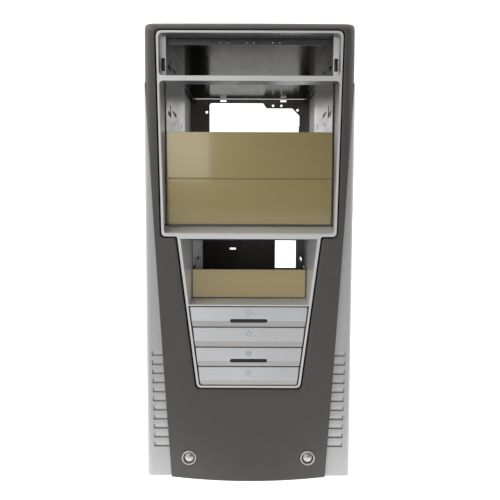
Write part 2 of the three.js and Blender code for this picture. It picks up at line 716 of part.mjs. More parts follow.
function rearPanel() {
  const y0 = REAR_Y - SHEET;
  const sheet = box(-CHASSIS_HALF, CHASSIS_HALF, y0, REAR_Y, FLOOR_Z + 1.3, ROOF_Z - GAP);
  const flanges = SIDES.map(([, side]) => {
    const x = side * (CHASSIS_HALF - SHEET / 2);
    return box(x - SHEET / 2, x + SHEET / 2, REAR_Y - 12, REAR_Y, ROOF_Z - 80, ROOF_Z - GAP);
  });
  const low = slotZ(SLOTS - 1) - SLOT_HALF - 3;
  const high = slotZ(0) + SLOT_HALF + 3;
  const ledge = box(LEDGE_X, LEDGE_X + SHEET, y0, REAR_Y + 7.6, low, high);
  const psu = plateY(psuCutout(), y0 - 1, REAR_Y + 1);
  const io = box(IO.left, IO.right, y0 - 1, REAR_Y + 1, IO.bottom, IO.top);
  const slots = Array.from({ length: SLOTS }, (_, i) => {
    const z = slotZ(i);
    return join(
      box(SLOT_LEFT, LEDGE_X, y0 - 1, REAR_Y + 1, z - SLOT_HALF, z + SLOT_HALF),
      box(LEDGE_X + SHEET, SLOT_RIGHT, y0 - 1, REAR_Y + 1, z - SLOT_HALF, z + SLOT_HALF),
      rodX(1.8, REAR_Y + 4, z, LEDGE_X - 1, LEDGE_X + 2, 8),
      box(LEDGE_X - 0.2, LEDGE_X + SHEET + 0.2, y0 - 1, REAR_Y + 0.01, z - SLOT_HALF, z + SLOT_HALF),
    );
  });
  const psuHoles = [[-65, 379.5], [72, 383], [-64, 319], [81, 322]].map(([x, z]) =>
    rodY(2, x, z, y0 - 1, REAR_Y + 1, 10),
  );
  const rivetHoles = [35, 47.5].map((x) => rodY(1.8, x, 389.5, y0 - 1, REAR_Y + 1, 10));
  const smallSlots = [[-40, 396.3], [50.5, 396.3], [-25.5, 172.8]].map(([x, z]) =>
    box(x - 4.5, x + 4.5, y0 - 1, REAR_Y + 1, z - 1.3, z + 1.3),
  );
  const fan = { x: -28, z: 234, radius: 41 };
  const grille = [-4, -3, -2, -1, 0, 1, 2, 3, 4].map((row) => {
    const z = fan.z + row * 9;
    const half = Math.sqrt(fan.radius * fan.radius - (row * 9) ** 2);
    return box(fan.x - half, fan.x + half, y0 - 1, REAR_Y + 1, z - 2.4, z + 2.4);
  });
  const fanHoles = [-1, 1].flatMap((a) =>
    [-1, 1].map((b) => rodY(2.2, fan.x + a * 41, fan.z + b * 41, y0 - 1, REAR_Y + 1, 10)),
  );
  const thumbs = SIDES.flatMap(([, side]) =>
    THUMB.z.map((z) => rodY(2.2, side * THUMB.x, z, y0 - 1, REAR_Y + 1, 10)),
  );
  return cut(
    join(sheet, ...flanges, ledge),
    psu, io, ...slots, ...psuHoles, ...rivetHoles, ...smallSlots, ...grille, ...fanHoles, ...thumbs,
  );
}

function slotCover(index) {
  const z = slotZ(index);
  const y1 = REAR_Y - SHEET - GAP;
  const tabX = LEDGE_X - GAP - SHEET;
  const face = box(tabX, SLOT_RIGHT + 2, y1 - SHEET, y1, z - 9.3, z + 9.3);
  const tab = box(tabX, tabX + SHEET, y1 - SHEET, REAR_Y + 7.4, z - SLOT_HALF + 0.4, z + SLOT_HALF - 0.4);
  return cut(join(face, tab), rodX(1.8, REAR_Y + 4, z, tabX - 1, tabX + 2, 8));
}

function slotScrew(index) {
  const z = slotZ(index);
  const x = LEDGE_X - 2 * GAP - SHEET;
  const y = REAR_Y + 4;
  return join(rodX(3.2, y, z, x - 2, x, 10), rodX(1.3, y, z, x - 0.5, x + 5, 8));
}

// ---- side panels ----
function sidePanel(side) {
  const y0 = STEEL_Y + GAP;
  const y1 = REAR_Y + GAP + SHEET;
  const place = (inner, outer, ya, yb, za, zb) =>
    side > 0 ? box(inner, outer, ya, yb, za, zb) : box(-outer, -inner, ya, yb, za, zb);
  const out = PANEL_IN + SHEET;
  const edge = DECK_HALF + 0.5;
  const sheet = place(PANEL_IN, out, y0, y1, FLOOR_Z, ROOF_Z + SHEET);
  const top = place(edge, out, y0 + 2, y1, ROOF_Z, ROOF_Z + SHEET);
  const foot = place(edge, out, y0 + 2, y1, FLOOR_Z, FLOOR_Z + SHEET);
  const rear = place(out - PANEL_FLANGE, out, REAR_Y + GAP, y1, FLOOR_Z, ROOF_Z + SHEET);
  const ears = THUMB.z.map((z) => place(74, out, REAR_Y + GAP, y1, z - 9, z + 9));
  const holes = THUMB.z.map((z) => rodY(2.4, side * THUMB.x, z, REAR_Y - 1, y1 + 1, 10));
  return cut(join(sheet, top, foot, rear, ...ears), ...holes);
}

// A thumbscrew: a fluted head on a short thread.
function thumbscrew(side, z) {
  const face = REAR_Y + 2 * GAP + SHEET;
  const flutes = 14;
  const rim = new THREE.Shape();
  for (let i = 0; i < flutes * 2; i++) {
    const turn = (i * Math.PI) / flutes;
    const r = THUMB.radius - (i % 2 ? 0.6 : 0);
    const at = [side * THUMB.x + r * Math.cos(turn), z + r * Math.sin(turn)];
    if (i === 0) rim.moveTo(...at);
    else rim.lineTo(...at);
  }
  const head = plateY(rim, face, HALF_DEPTH);
  return join(head, rodY(1.7, side * THUMB.x, z, REAR_Y - 5, face + 0.5, 10));
}

// ---- feet and speaker ----
function foot(x, y) {
  const profile = [[0, 0], [11, 0], [FOOT.radius - 1, 1.5], [FOOT.radius, FLOOR_Z - GAP], [0, FLOOR_Z - GAP]];
  const g = new THREE.LatheGeometry(profile.map(([r, z]) => new THREE.Vector2(r, z)), 20);
  g.rotateX(Math.PI / 2);
  g.translate(x, y, 0);
  return solid(g);
}

function speaker() {
  const y = STEEL_Y + SHEET + GAP;
  const profile = [[0, 0], [14, 0], [18, 5], [20, 9], [20, 11], [0, 11]];
  const g = new THREE.LatheGeometry(profile.map(([r, h]) => new THREE.Vector2(r, h)), 20);
  g.rotateX(Math.PI);
  g.translate(-64, y + 11, 40);
  return solid(g);
}

// ---- assembly ----
add("bezel_base", bezelBase(), SILVER);
add("front_shield", frontShield(), GRAPHITE);
add("bay_trim", bayTrim(), SILVER);
add("power_light_bar", lightBar(0), BAR_SILVER);
add("power_button", buttonBar(1), BAR_SILVER);
add("drive_light_bar", lightBar(2), BAR_SILVER);
add("reset_button", buttonBar(3), BAR_SILVER);
add("power_light_lens", lens(0), SMOKED);
add("drive_light_lens", lens(2), SMOKED);
add("power_led", led(0), CLEAR);
add("drive_led", led(2), CLEAR);
add("power_switch", switchBody(1), BLACK);
add("reset_switch", switchBody(3), BLACK);
add("power_switch_plunger", plunger(1), BLACK);
add("reset_switch_plunger", plunger(3), BLACK);
add("control_bracket", controlBracket(), BLACK);
for (const [name, side] of SIDES) {
  const { ring, head } = stud(side);
  add(`${name}_stud_ring`, ring, SILVER);
  add(`${name}_stud`, head, CHROME);
  add(`${name}_bracket_screw`, bracketScrew(side), CHROME);
}
const bayBlankHalf = 73.3;
add("upper_bay_blank", upperBlank(bayBlankHalf, 271.2, 311.6), CHROMATE);
add("lower_bay_blank", blank(bayBlankHalf, 230, 270), CHROMATE);
add("small_bay_blank", blank(50.9, 163.9, 189.4), CHROMATE);
add("front_frame", frontFrame(), STEEL);
add("top_panel", deck(ROOF_Z, ROOF_Z - DECK_FLANGE, ROOF_Z + SHEET), STEEL);
add("base_panel", deck(FLOOR_Z, FLOOR_Z, FLOOR_Z + DECK_FLANGE), STEEL);
add("rear_panel", rearPanel(), STEEL);
add("mainboard_tray", mainboardTray(), STEEL);
add("left_cage_wall", cageWall(-1), STEEL);
add("right_cage_wall", cageWall(1), STEEL);
add("bay_shelf", bayShelf(), STEEL);
add("small_drive_cage", smallCage(), STEEL);
add("case_speaker", speaker(), BLACK);
for (let i = 0; i < SLOTS; i++) {
  add(`slot_cover_${i + 1}`, slotCover(i), STEEL);
  add(`slot_screw_${i + 1}`, slotScrew(i), CHROME);
}
for (const [name, side] of SIDES) {
  add(`${name}_side_panel`, sidePanel(side), PANEL_PAINT);
  add(`${name}_lower_thumbscrew`, thumbscrew(side, THUMB.z[0]), CHROME);
  add(`${name}_upper_thumbscrew`, thumbscrew(side, THUMB.z[1]), CHROME);
  add(`${name}_front_foot`, foot(side * FOOT.x, FOOT.y[0]), RUBBER);
  add(`${name}_rear_foot`, foot(side * FOOT.x, FOOT.y[1]), RUBBER);
}

export default model;
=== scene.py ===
"""An empty mid-tower computer case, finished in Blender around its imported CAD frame."""

import json
import math

import bmesh
import bpy
import numpy as np
from mathutils import Matrix, Vector

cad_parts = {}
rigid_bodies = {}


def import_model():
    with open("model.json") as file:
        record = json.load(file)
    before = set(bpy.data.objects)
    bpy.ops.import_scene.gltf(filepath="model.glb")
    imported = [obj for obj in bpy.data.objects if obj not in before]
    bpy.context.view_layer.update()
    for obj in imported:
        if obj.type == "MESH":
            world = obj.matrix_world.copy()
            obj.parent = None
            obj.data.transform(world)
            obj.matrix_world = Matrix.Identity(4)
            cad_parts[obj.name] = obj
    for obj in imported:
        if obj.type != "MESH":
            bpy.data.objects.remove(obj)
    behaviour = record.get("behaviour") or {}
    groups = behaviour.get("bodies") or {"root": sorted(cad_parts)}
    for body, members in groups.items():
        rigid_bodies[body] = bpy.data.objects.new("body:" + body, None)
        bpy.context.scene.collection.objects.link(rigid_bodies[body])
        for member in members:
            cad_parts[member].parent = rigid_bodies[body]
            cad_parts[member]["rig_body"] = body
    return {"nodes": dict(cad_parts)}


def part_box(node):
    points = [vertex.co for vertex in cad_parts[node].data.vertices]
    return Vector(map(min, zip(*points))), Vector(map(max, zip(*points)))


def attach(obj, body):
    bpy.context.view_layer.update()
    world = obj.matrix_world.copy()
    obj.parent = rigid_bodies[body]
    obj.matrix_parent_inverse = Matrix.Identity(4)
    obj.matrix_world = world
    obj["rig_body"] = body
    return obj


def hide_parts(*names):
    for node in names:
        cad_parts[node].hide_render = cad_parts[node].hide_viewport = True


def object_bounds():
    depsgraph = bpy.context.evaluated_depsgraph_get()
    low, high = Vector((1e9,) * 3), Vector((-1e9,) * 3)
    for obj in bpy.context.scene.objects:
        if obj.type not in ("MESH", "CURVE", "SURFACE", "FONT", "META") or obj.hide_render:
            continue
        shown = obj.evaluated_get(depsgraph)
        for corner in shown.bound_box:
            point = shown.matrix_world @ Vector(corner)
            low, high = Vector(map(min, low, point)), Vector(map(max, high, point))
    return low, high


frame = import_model()
cad_low, cad_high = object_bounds()

MM = 0.001
FLAT = math.cos(math.radians(0.3))
NODES = frame["nodes"]
SIDES = {"left": -1, "right": 1}

# The bezel's shape, in millimetres in the frame. The rest of its sizes come from the CAD boxes.
TRIM_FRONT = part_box("bay_trim")[0].y / MM
BEZEL_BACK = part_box("bezel_base")[1].y / MM
WRAP_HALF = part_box("front_shield")[1].x / MM  # where the shield wraps the case above the wings
TOP = cad_high.z / MM
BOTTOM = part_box("bezel_base")[0].z / MM
CORNER = 9.0  # radius of the shield's top and side edges
WING_TOP = 352.0
SHIELD_FOOT_HALF = 68.4
SHIELD_TOP_HALF = 89.2  # at the top of the wings
SHIELD_BOW = (80.1, 178.5)  # the point (x, z) that each side's curve bends towards
SHIELD_WALL = 2.6
BELLY_TOP = 95.0  # the shield bulges forward more and more below this height
BELLY_HIGH = 1.0
BELLY_LOW = 9.0
TRIM_CORNERS = [(45.4, 86.65, 4.0), (62.25, 220.3, 2.0), (75.7, 220.3, 4.0)]  # x, z, radius
TRIM_GAP = 1.4  # between the trim and the shield
MOUTH_DEPTH = 14.0  # of the bright flanges in the trim's top mouth
SOFFIT_Z = 210.0  # above this, the trim's inner soffits and side walls carry painted shade: darker copies of the silver paint
BAR_FACE = (1.2, -0.4)  # how far a bar's top edge and its crease lie behind the trim's front
BAR_SLOPE_SHARE = 0.69  # of a bar's height, from its top edge down to its crease

# ---------------------------------------------------------------- camera

CAMERA_DISTANCE = 0.561  # metres in front of the bay trim
CAMERA_HEIGHT = 0.2576
CAMERA_SIDE = 0.0009
CAMERA_PITCH = 4.98  # degrees down
CAMERA_ROLL = 0.2
LENS = 46.8


def make_camera():
    data = bpy.data.cameras.new("camera")
    data.lens = LENS
    data.clip_start = 0.01
    camera = bpy.data.objects.new("camera", data)
    camera.location = (CAMERA_SIDE, TRIM_FRONT * MM - CAMERA_DISTANCE, CAMERA_HEIGHT)
    tilt = Matrix.Rotation(math.radians(90 - CAMERA_PITCH), 4, "X")
    camera.rotation_euler = (tilt @ Matrix.Rotation(math.radians(CAMERA_ROLL), 4, "Z")).to_euler()
    bpy.context.scene.collection.objects.link(camera)
    bpy.context.scene.camera = camera


# ---------------------------------------------------------------- materials


class Finish:
    """A node material whose colour, roughness and bump all come from procedural noise."""

    def __init__(self, name):
        self.material = bpy.data.materials.new(name)
        self.material.use_nodes = True
        self.tree = self.material.node_tree
        self.shader = self.tree.nodes["Principled BSDF"]
        self.place = self.add("ShaderNodeTexCoord").outputs["Object"]
        self.normal = None

    def add(self, kind, **values):
        node = self.tree.nodes.new(kind)
        for key, value in values.items():
            if hasattr(node, key):
                setattr(node, key, value)
            else:
                node.inputs[key.replace("_", " ")].default_value = value
        return node

    def link(self, source, target):
        self.tree.links.new(source, target)

    def set(self, **values):
        for key, value in values.items():
            self.shader.inputs[key.replace("_", " ")].default_value = value

    def stretched(self, scale):
        mapping = self.add("ShaderNodeMapping")
        mapping.inputs["Scale"].default_value = scale
        self.link(self.place, mapping.inputs["Vector"])
        return mapping.outputs["Vector"]

    def noise(self, scale, detail=3.0, stretch=None):
        node = self.add("ShaderNodeTexNoise", Scale=scale, Detail=detail)
        self.link(self.stretched(stretch) if stretch else self.place, node.inputs["Vector"])
        return node.outputs["Fac"]

    def ranged(self, source, low, high, start=0.3, end=0.7):
        node = self.add("ShaderNodeMapRange")
        node.inputs["From Min"].default_value = start
        node.inputs["From Max"].default_value = end
        node.inputs["To Min"].default_value = low
        node.inputs["To Max"].default_value = high
        self.link(source, node.inputs["Value"])
        return node.outputs["Result"]

    def colours(self, source, dark, light, start=0.3, end=0.7):
        ramp = self.add("ShaderNodeValToRGB")
        ramp.color_ramp.elements[0].position = start
        ramp.color_ramp.elements[0].color = (*dark, 1)
        ramp.color_ramp.elements[1].position = end
        ramp.color_ramp.elements[1].color = (*light, 1)
        self.link(source, ramp.inputs["Fac"])
        return ramp.outputs["Color"]

    def mixed(self, source, under, over):
        mix = self.add("ShaderNodeMix", data_type="RGBA")
        self.link(source, mix.inputs["Factor"])
        self.link(under, mix.inputs["A"])
        self.link(over, mix.inputs["B"])
        return mix.outputs["Result"]

    def base(self, colour):
        self.link(colour, self.shader.inputs["Base Color"])

    def rough(self, value):
        self.link(value, self.shader.inputs["Roughness"])

    def bump(self, height, strength, distance):
        node = self.add("ShaderNodeBump", Strength=strength, Distance=distance)
        self.link(height, node.inputs["Height"])
        if self.normal:
            self.link(self.normal, node.inputs["Normal"])
        self.normal = node.outputs["Normal"]
        self.link(self.normal, self.shader.inputs["Normal"])


def shade(colour, factor):
    return tuple(min(c * factor, 1.0) for c in colour)


def painted_plastic(name, colour, metallic, rough, grain=0.35, scuffs=0.0):
    """Moulded plastic under metallic paint: fine grain, soft clouding and a few light rubs."""
    f = Finish(name)
    f.set(Metallic=metallic, Specular_IOR_Level=0.45)
    cloud = f.noise(6.0, 2.0)
    flake = f.noise(5200.0, 1.0)
    body = f.colours(cloud, shade(colour, 0.97), shade(colour, 1.03))
    sparkle = f.colours(flake, shade(colour, 0.9), shade(colour, 1.14), 0.35, 0.68)
    half = f.add("ShaderNodeMix", data_type="RGBA")
    half.inputs["Factor"].default_value = 0.45
    f.link(body, half.inputs["A"])
    f.link(sparkle, half.inputs["B"])
    surface = half.outputs["Result"]
    if scuffs:
        rub = f.ranged(f.noise(38.0, 7.0, (1.0, 1.0, 2.6)), 0.0, scuffs, 0.62, 0.74)
        surface = f.mixed(rub, surface, f.colours(flake, shade(colour, 1.5), shade(colour, 1.9)))
    f.base(surface)
    f.rough(f.ranged(f.noise(60.0, 5.0), rough - 0.05, rough + 0.07))
    f.bump(f.noise(2300.0, 2.0), grain, 0.00012)
    return f.material


def bar_silver(name, colour):
    """Smoother silver paint, with hairlines and worn marks that run along each bar."""
    f = Finish(name)
    f.set(Metallic=0.5, Specular_IOR_Level=0.5)
    cloud = f.noise(20.0, 4.0)
    body = f.colours(cloud, shade(colour, 0.95), shade(colour, 1.05))
    streak = f.ranged(f.noise(55.0, 6.0, (1.0, 1.0, 16.0)), 0.0, 0.55, 0.66, 0.78)
    f.base(f.mixed(streak, body, f.colours(cloud, (0.22, 0.225, 0.24), (0.3, 0.3, 0.32))))
    f.rough(f.ranged(f.noise(300.0, 4.0, (0.2, 1.0, 5.0)), 0.27, 0.42))
    f.bump(f.noise(1500.0, 2.0, (0.1, 1.0, 1.0)), 0.10, 0.00008)
    return f.material


def sheet_steel(name, colour, rough, spangle=0.05, scratches=0.2):
    """Zinc-coated sheet: faint spangle, a rolling direction and small scratches."""
    f = Finish(name)
    f.set(Metallic=1.0)
    cells = f.add("ShaderNodeTexVoronoi", Scale=170.0)
    f.link(f.place, cells.inputs["Vector"])
    flakes = f.colours(cells.outputs["Color"], shade(colour, 1 - spangle), shade(colour, 1 + spangle))
    scratch = f.ranged(f.noise(240.0, 8.0, (1.0, 0.06, 1.0)), 0.0, scratches, 0.64, 0.8)
    f.base(f.mixed(scratch, flakes, f.colours(f.noise(18.0), shade(colour, 1.2), shade(colour, 1.35))))
    f.rough(f.ranged(f.noise(90.0, 6.0, (1.0, 0.2, 1.0)), rough - 0.03, rough + 0.05))
    f.bump(f.noise(900.0, 3.0, (1.0, 0.1, 1.0)), 0.03, 0.00004)
    return f.material


def blank_steel():
    """Glossy plate whose tan colour is a painted reflection of warm surroundings, drifting a little from
    brown to olive.
    """
    f = Finish("blank_steel")
    f.set(Metallic=0.4, Coat_Weight=1.0, Coat_Roughness=0.06, Coat_IOR=1.7)
    drift = f.noise(5.0, 1.0)
    painted_tan = f.colours(drift, (0.35, 0.265, 0.095), (0.40, 0.31, 0.12))
    marks = f.ranged(f.noise(90.0, 2.0, (0.06, 1.0, 1.0)), 0.0, 0.14, 0.45, 0.95)
    f.base(f.mixed(marks, painted_tan, f.colours(drift, (0.46, 0.39, 0.22), (0.5, 0.43, 0.25))))
    f.rough(f.ranged(f.noise(30.0, 2.0), 0.22, 0.28, 0.2, 0.8))
    f.bump(f.noise(9.0, 1.0), 0.03, 0.0006)
    return f.material


def polished(name, colour, rough):
    f = Finish(name)
    f.set(Metallic=1.0)
    f.base(f.colours(f.noise(160.0, 5.0), shade(colour, 0.93), shade(colour, 1.04)))
    f.rough(f.ranged(f.noise(420.0, 5.0), rough, rough + 0.12))
    f.bump(f.noise(700.0, 4.0), 0.04, 0.00005)
    return f.material


def smoked_lens():
    f = Finish("smoked_lens")
    f.set(Specular_IOR_Level=0.3, Coat_Weight=0.2, Coat_Roughness=0.05)
    f.base(f.colours(f.noise(80.0), (0.008, 0.008, 0.012), (0.014, 0.014, 0.02)))
    f.rough(f.ranged(f.noise(200.0, 4.0), 0.08, 0.2))
    f.bump(f.noise(500.0), 0.03, 0.00004)
    return f.material


def black_moulding():
    f = Finish("black_moulding")
    f.base(f.colours(f.noise(40.0), (0.011, 0.011, 0.011), (0.019, 0.019, 0.019)))
    f.rough(f.ranged(f.noise(120.0, 4.0), 0.45, 0.62))
    f.bump(f.noise(1900.0, 2.0), 0.3, 0.0001)
    return f.material


def foot_rubber():
    f = Finish("foot_rubber")
    f.base(f.colours(f.noise(70.0, 5.0), (0.010, 0.010, 0.010), (0.026, 0.026, 0.025)))
    f.rough(f.ranged(f.noise(200.0, 4.0), 0.75, 0.92))
    f.bump(f.noise(1200.0, 4.0), 0.4, 0.00015)
    return f.material


def led_resin():
    f = Finish("led_resin")
    f.set(Transmission_Weight=0.55, IOR=1.5)
    f.base(f.colours(f.noise(60.0), (0.72, 0.76, 0.74), (0.8, 0.84, 0.82)))
    f.rough(f.ranged(f.noise(300.0), 0.1, 0.2))
    f.bump(f.noise(400.0), 0.03, 0.00004)
    return f.material


def icon_ink():
    f = Finish("icon_ink")
    f.base(f.colours(f.noise(900.0, 4.0), (0.24, 0.245, 0.26), (0.34, 0.345, 0.36)))
    f.rough(f.ranged(f.noise(500.0), 0.4, 0.6))
    f.bump(f.noise(1500.0), 0.1, 0.00003)
    return f.material


def floor_paint():
    """White paper lit from below, which fades out in front of the case."""
    f = Finish("floor_paint")
    f.base(f.colours(f.noise(3.0), (0.6, 0.6, 0.6), (0.62, 0.62, 0.62)))
    f.rough(f.ranged(f.noise(30.0), 0.75, 0.85))
    parts = f.add("ShaderNodeSeparateXYZ")
    f.link(f.place, parts.inputs["Vector"])
    f.set(Emission_Color=(1, 1, 1, 1))
    f.link(f.ranged(parts.outputs["Y"], 0.1, 1.0, -0.35, -0.25), f.shader.inputs["Emission Strength"])
    return f.material


# colour, metallic, roughness, grain, scuffs
SILVER = painted_plastic("silver_paint", (0.50, 0.50, 0.505), 0.4, 0.4)
TRIM_SILVER = painted_plastic("trim_silver", (0.72, 0.715, 0.71), 0.5, 0.34, 0.2)
# painted shade: a darker copy of the trim silver for the side walls in the trim's mouths
TRIM_WALL_SHADE = painted_plastic("trim_wall_painted_shade", (0.40, 0.395, 0.38), 0.5, 0.34, 0.2)
# painted shade: a near-black copy of the trim silver for the downward-facing soffits
TRIM_SOFFIT_SHADE = painted_plastic("trim_soffit_painted_shade", (0.10, 0.105, 0.115), 0.3, 0.3, 0.2)
TRIM_BRIGHT = painted_plastic("trim_bright", (0.93, 0.94, 0.96), 0.1, 0.3, 0.1)
GRAPHITE = painted_plastic("graphite_paint", (0.088, 0.084, 0.081), 0.3, 0.42, 0.4, 0.10)
PANEL = painted_plastic("panel_paint", (0.27, 0.27, 0.27), 0.3, 0.5, 0.6)

BAR = bar_silver("bar_silver", (0.70, 0.715, 0.735))
# painted shade: a darker copy of the bar silver for the bars' downward-facing lower slopes
BAR_LOWER_SHADE = bar_silver("bar_lower_painted_shade", (0.48, 0.47, 0.455))

# colour, roughness, spangle, scratches
STEEL = sheet_steel("zinc_steel", (0.33, 0.318, 0.305), 0.3)
# glossier copy of the zinc steel for the top panel's underside; its darker colour is painted shade
SMOOTH_SHADE_STEEL = sheet_steel("smooth_steel_painted_shade", (0.19, 0.185, 0.18), 0.16, 0.03, 0.08)
shaded_smooth_shader = SMOOTH_SHADE_STEEL.node_tree.nodes["Principled BSDF"]
shaded_smooth_shader.inputs["Specular Tint"].default_value = (0.3, 0.3, 0.3, 1)
# painted shade: a near-black copy of the zinc steel for the shaded front frame and small drive cage
DARK_SHADE_STEEL = sheet_steel("dark_steel_painted_shade", (0.12, 0.12, 0.12), 0.3)
CAGE_STEEL = sheet_steel("cage_steel", (0.24, 0.23, 0.22), 0.3, 0.08, 0.3)

# painted reflection: the blanks' tan colour stands in for warm surroundings reflected in the glossy plates
BLANK = blank_steel()
CHROME = polished("chrome", (0.58, 0.575, 0.57), 0.34)
SCREW = polished("screw_steel", (0.6, 0.59, 0.57), 0.25)
SMOKED = smoked_lens()
BLACK = black_moulding()
RUBBER = foot_rubber()
RESIN = led_resin()
INK = icon_ink()

# ---------------------------------------------------------------- mesh helpers


def new_object(name, bm, material):
    mesh = bpy.data.meshes.new(name)
    bm.to_mesh(mesh)
    bm.free()
    for face in mesh.polygons:
        face.use_smooth = True
    mesh.materials.append(material)
    obj = bpy.data.objects.new(name, mesh)
    bpy.context.scene.collection.objects.link(obj)
    return obj


def modify(obj, kind, **values):
    modifier = obj.modifiers.new(kind.lower(), kind)
    for key, value in values.items():
        setattr(modifier, key, value)
    return modifier


def round_edges(obj, width, segments=2, angle=30):
    modify(
        obj,
        "BEVEL",
        width=width * MM,
        segments=segments,
        limit_method="ANGLE",
        angle_limit=math.radians(angle),
        miter_outer="MITER_ARC",
    )
    modify(obj, "WEIGHTED_NORMAL", keep_sharp=True, weight=60)


def stand_for(obj, *nodes, slot):
    """The piece takes the place of those CAD nodes and rides on their body."""
    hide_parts(*nodes)
    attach(obj, NODES[nodes[0]]["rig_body"])
    return obj


def flat_regions(bm):
    """The mesh's faces in connected flat groups, none of which crosses a seam."""
    regions = []
    seen = set()
    for first in bm.faces:
        if first in seen:
            continue
        seen.add(first)
        region = [first]
        for face in region:
            for edge in face.edges:
                if edge.seam or len(edge.link_faces) != 2:
                    continue
                other = next(f for f in edge.link_faces if f != face)
                if other not in seen and other.normal.dot(first.normal) > FLAT:
                    seen.add(other)
                    region.append(other)
        regions.append(region)
    return regions


def holes(region):
    """The closed edge loops round a flat region, except its outer one."""
    inside = set(region)
    rim = [e for f in region for e in f.edges if sum(g in inside for g in e.link_faces) == 1]
    links = {}
    for edge in rim:
        for vert in edge.verts:
            links.setdefault(vert, []).append(edge)
    loops = []
    left = dict.fromkeys(rim)
    while left:
        loop = [left.popitem()[0]]
        for edge in loop:
            for vert in edge.verts:
                for other in links[vert]:
                    if other in left:
                        del left[other]
                        loop.append(other)
        places = {v: v.co.copy() for e in loop for v in e.verts}
        loops.append(list(places.values()))
    loops.sort(key=lambda loop: sum((a - b).length for a in loop for b in loop) / len(loop) ** 2)
    return loops[:-1]


def make_whole(bm):
    """Joins the triangles of every flat face, which a cut through each hole first leaves simple."""
    for region in flat_regions(bm):
        for loop in holes(region):
            region = [f for f in region if f.is_valid]
            normal = region[0].normal
            along = normal.cross(Vector((0, 0, 1)))
            if along.length < 0.5:
                along = normal.cross(Vector((0, 1, 0)))
            middle = sum(loop, Vector()) / len(loop)
            edges = [e for f in region for e in f.edges]
            verts = [v for f in region for v in f.verts]
            parts = list(dict.fromkeys(region + edges + verts))
            made = bmesh.ops.bisect_plane(
                bm, geom=parts, dist=1e-7, plane_co=middle, plane_no=along.normalized()
            )
            for edge in made["geom_cut"]:
                if isinstance(edge, bmesh.types.BMEdge):
                    edge.seam = True
            region = [f for f in made["geom"] if isinstance(f, bmesh.types.BMFace)]
    for region in flat_regions(bm):
        if len(region) > 1:
            bmesh.ops.dissolve_faces(bm, faces=region)
    straight = []
    for vert in bm.verts:
        if len(vert.link_edges) == 2:
            a, b = (edge.other_vert(vert).co - vert.co for edge in vert.link_edges)
            if a.normalized().dot(b.normalized()) < -FLAT:
                straight.append(vert)
    bmesh.ops.dissolve_verts(bm, verts=straight)


def refined(node, material, slot, bevel=0.35, segments=2, angle=30, cutters=()):
    """A CAD node finished: its flat faces made whole, then its edges rounded."""
    bm = bmesh.new()
    bm.from_mesh(NODES[node].data)
    bmesh.ops.remove_doubles(bm, verts=bm.verts, dist=0.000002)
    obj = new_object(node + "_finish", bm, material)
    for cutter in cutters:
        modify(obj, "BOOLEAN", operation="DIFFERENCE", solver="MANIFOLD", object=cutter)
    settle(obj)
    bm = bmesh.new()
    bm.from_mesh(obj.data)
    bmesh.ops.remove_doubles(bm, verts=bm.verts, dist=0.000002)
    make_whole(bm)
    bm.to_mesh(obj.data)
    bm.free()
    for face in obj.data.polygons:
        face.use_smooth = True
    round_edges(obj, bevel, segments, angle)
    return stand_for(obj, node, slot=slot)


def paint(obj, material, chosen):
    """Gives a second material to the faces that chosen() picks."""
    obj.data.materials.append(material)
    for face in obj.data.polygons:
        if chosen(face):
            face.material_index = len(obj.data.materials) - 1


def settle(obj):
    """Applies the piece's modifiers."""
    if not obj.modifiers:
        return
    graph = bpy.context.evaluated_depsgraph_get()
    mesh = bpy.data.meshes.new_from_object(obj.evaluated_get(graph))
    obj.modifiers.clear()
    obj.data = mesh


def remove(*objects):
    for obj in objects:
        bpy.data.objects.remove(obj)


def lathe(name, profile, material, axis, origin, steps=64):
    """A turned piece. The profile's points are (radius, distance along the axis), in mm."""
    bm = bmesh.new()
    rows = []
    for radius, along in profile:
        if radius < 1e-6:
            rows.append([bm.verts.new((0, 0, along * MM))])
            continue
        ring = []
        for i in range(steps):
            turn = 2 * math.pi * i / steps
            at = (radius * MM * math.cos(turn), radius * MM * math.sin(turn), along * MM)
            ring.append(bm.verts.new(at))
        rows.append(ring)
    for low, high in zip(rows, rows[1:]):
        for i in range(steps):
            j = (i + 1) % steps
            corners = [low[i % len(low)], low[j % len(low)], high[j % len(high)], high[i % len(high)]]
            bm.faces.new(list(dict.fromkeys(corners)))
    bmesh.ops.recalc_face_normals(bm, faces=bm.faces)
    turn = Vector((0, 0, 1)).rotation_difference(Vector(axis)).to_matrix().to_4x4()
    bmesh.ops.transform(bm, matrix=Matrix.Translation(origin) @ turn, verts=bm.verts)
    return new_object(name, bm, material)


def arc(cx, cy, radius, start, end, steps=8):
    """Points of a profile's rounded corner, with angles in degrees."""
    turns = [math.radians(start + (end - start) * i / steps) for i in range(steps + 1)]
    return [(cx + radius * math.cos(t), cy + radius * math.sin(t)) for t in turns]


def centre(node):
    low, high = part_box(node)
    return (low + high) / 2


# ---------------------------------------------------------------- shield


def shield_half(z):
    t = np.clip((z - BOTTOM) / (WING_TOP - BOTTOM), 0, 1)
    foot, bow, top = SHIELD_FOOT_HALF, SHIELD_BOW[0], SHIELD_TOP_HALF
    return (1 - t) ** 2 * foot + 2 * t * (1 - t) * bow + t * t * top


def shield_y(x, z):
    drop = np.clip((BELLY_TOP - z) / (BELLY_TOP - BOTTOM), 0, 1)
    belly = BELLY_HIGH + (BELLY_LOW - BELLY_HIGH) * drop**2
    across = np.minimum(np.abs(x) / shield_half(z), 1)
    side = np.clip(np.abs(x) - (WRAP_HALF - CORNER), 0, CORNER)
    roof = np.clip(z - (TOP - CORNER), 0, CORNER)
    rounds = sum(CORNER - np.sqrt(CORNER**2 - d**2) for d in (side, roof))
    return TRIM_FRONT - belly * (1 - across**2) + rounds


